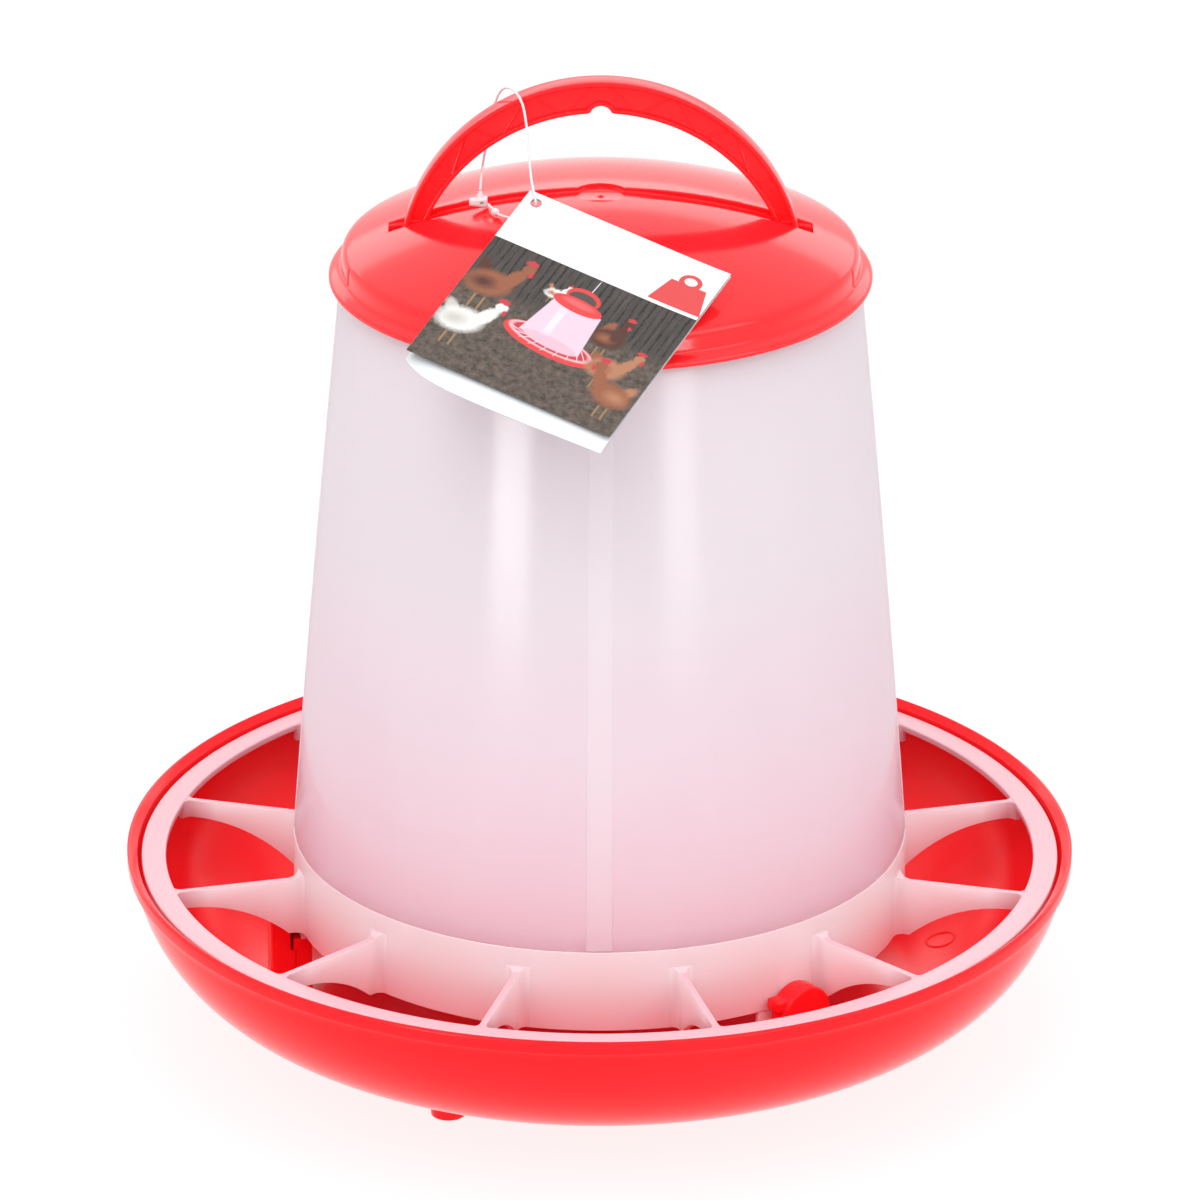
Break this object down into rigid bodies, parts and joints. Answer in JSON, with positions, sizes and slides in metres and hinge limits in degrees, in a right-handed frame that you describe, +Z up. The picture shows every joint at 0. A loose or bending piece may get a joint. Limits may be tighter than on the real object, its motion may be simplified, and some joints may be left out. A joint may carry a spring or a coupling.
{
  "type": "gravity poultry feeder",
  "caption": "Hopper feeder for poultry: round tray with a spoked feeding ring, cone hopper on a bayonet, domed lift-off lid, arched carrying handle and a tied-on leaflet.",
  "frame": {"origin": "on the floor under the middle of the tray, level with the bottoms of the three feet", "axes": "+Z up along the feeder's axis; the handle's arch lies in the XZ plane; the front, with the leaflet, faces -Y"},
  "size_m": [0.25, 0.25, 0.26],
  "materials": {
    "red_plastic": "glossy moulded polypropylene, opaque",
    "milky_plastic": "semi-gloss translucent natural polypropylene",
    "printed_paper": "coated paper, printed on one side",
    "white_nylon": "smooth white nylon"
  },
  "bodies": {
    "tray": {"feed_tray": "red_plastic"},
    "hopper": {"hopper": "milky_plastic", "feed_grid": "milky_plastic"},
    "lid": {"lid": "red_plastic", "handle": "red_plastic", "hang_tag": "printed_paper", "tag_string": "white_nylon", "tag_string_lock": "white_nylon", "tag_string_tail": "white_nylon"}
  },
  "joints": [
    {"name": "hopper_turn", "type": "hinge", "parent": "tray", "child": "hopper", "pos_m": [0, 0, 0.03], "axis": [0, 0, 1], "range_deg": [0, 15]},
    {"name": "lid_lift", "type": "slide", "parent": "hopper", "child": "lid", "axis": [0, 0, 1], "range_m": [0, 0.06]}
  ]
}
